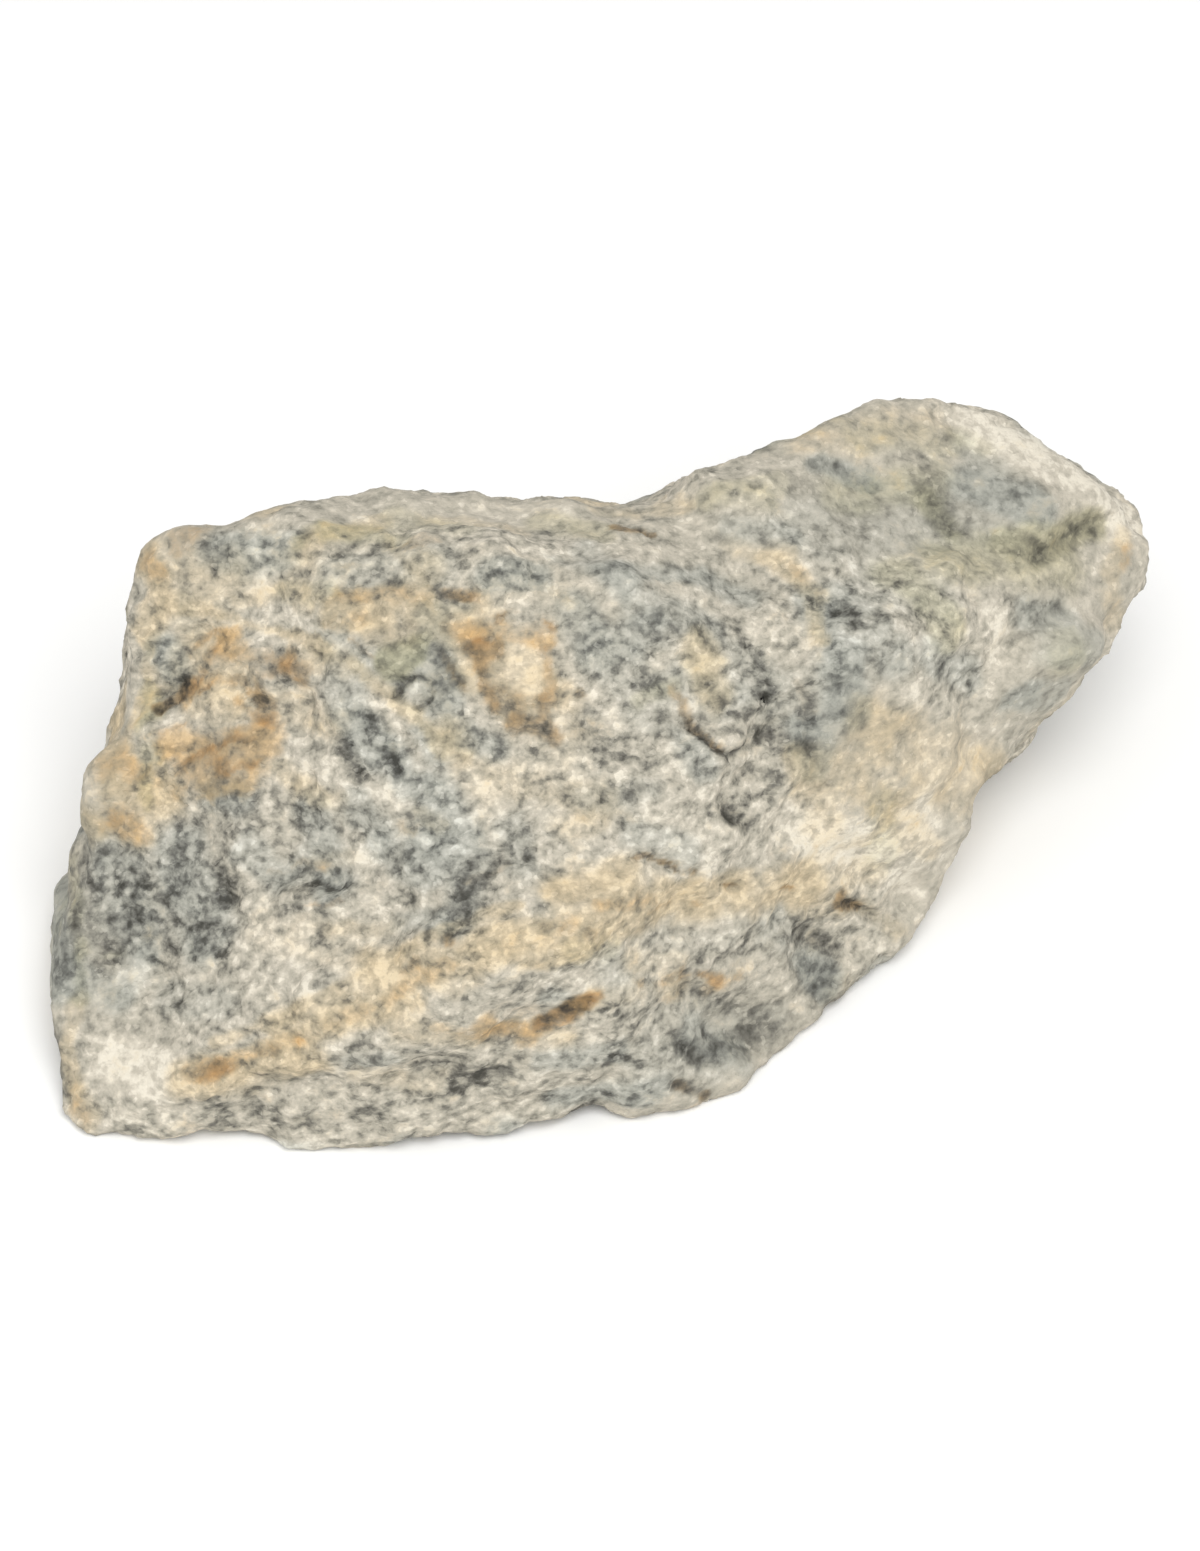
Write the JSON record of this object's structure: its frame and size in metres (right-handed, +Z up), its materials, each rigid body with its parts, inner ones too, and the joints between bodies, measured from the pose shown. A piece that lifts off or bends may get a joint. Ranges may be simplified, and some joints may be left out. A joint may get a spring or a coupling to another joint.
{
  "type": "rough rock",
  "caption": "Rough broken piece of banded gneiss with a broad sloping face, a narrower nose at one end and a flat resting side; lies free on a shelf or table.",
  "frame": {"origin": "on the resting plane, under the middle of the stone's bounding box", "axes": "+X along the stone's longest side, from the broad body towards the narrow nose; +Y away from the broad sloping face, towards the back; +Z up"},
  "size_m": [0.1214, 0.0864, 0.0448],
  "materials": {
    "stone": "rough matte, mottled grey, cream and tan with rust stains and dark blue-grey clots"
  },
  "bodies": {
    "root": {"rock": "stone"}
  },
  "joints": []
}
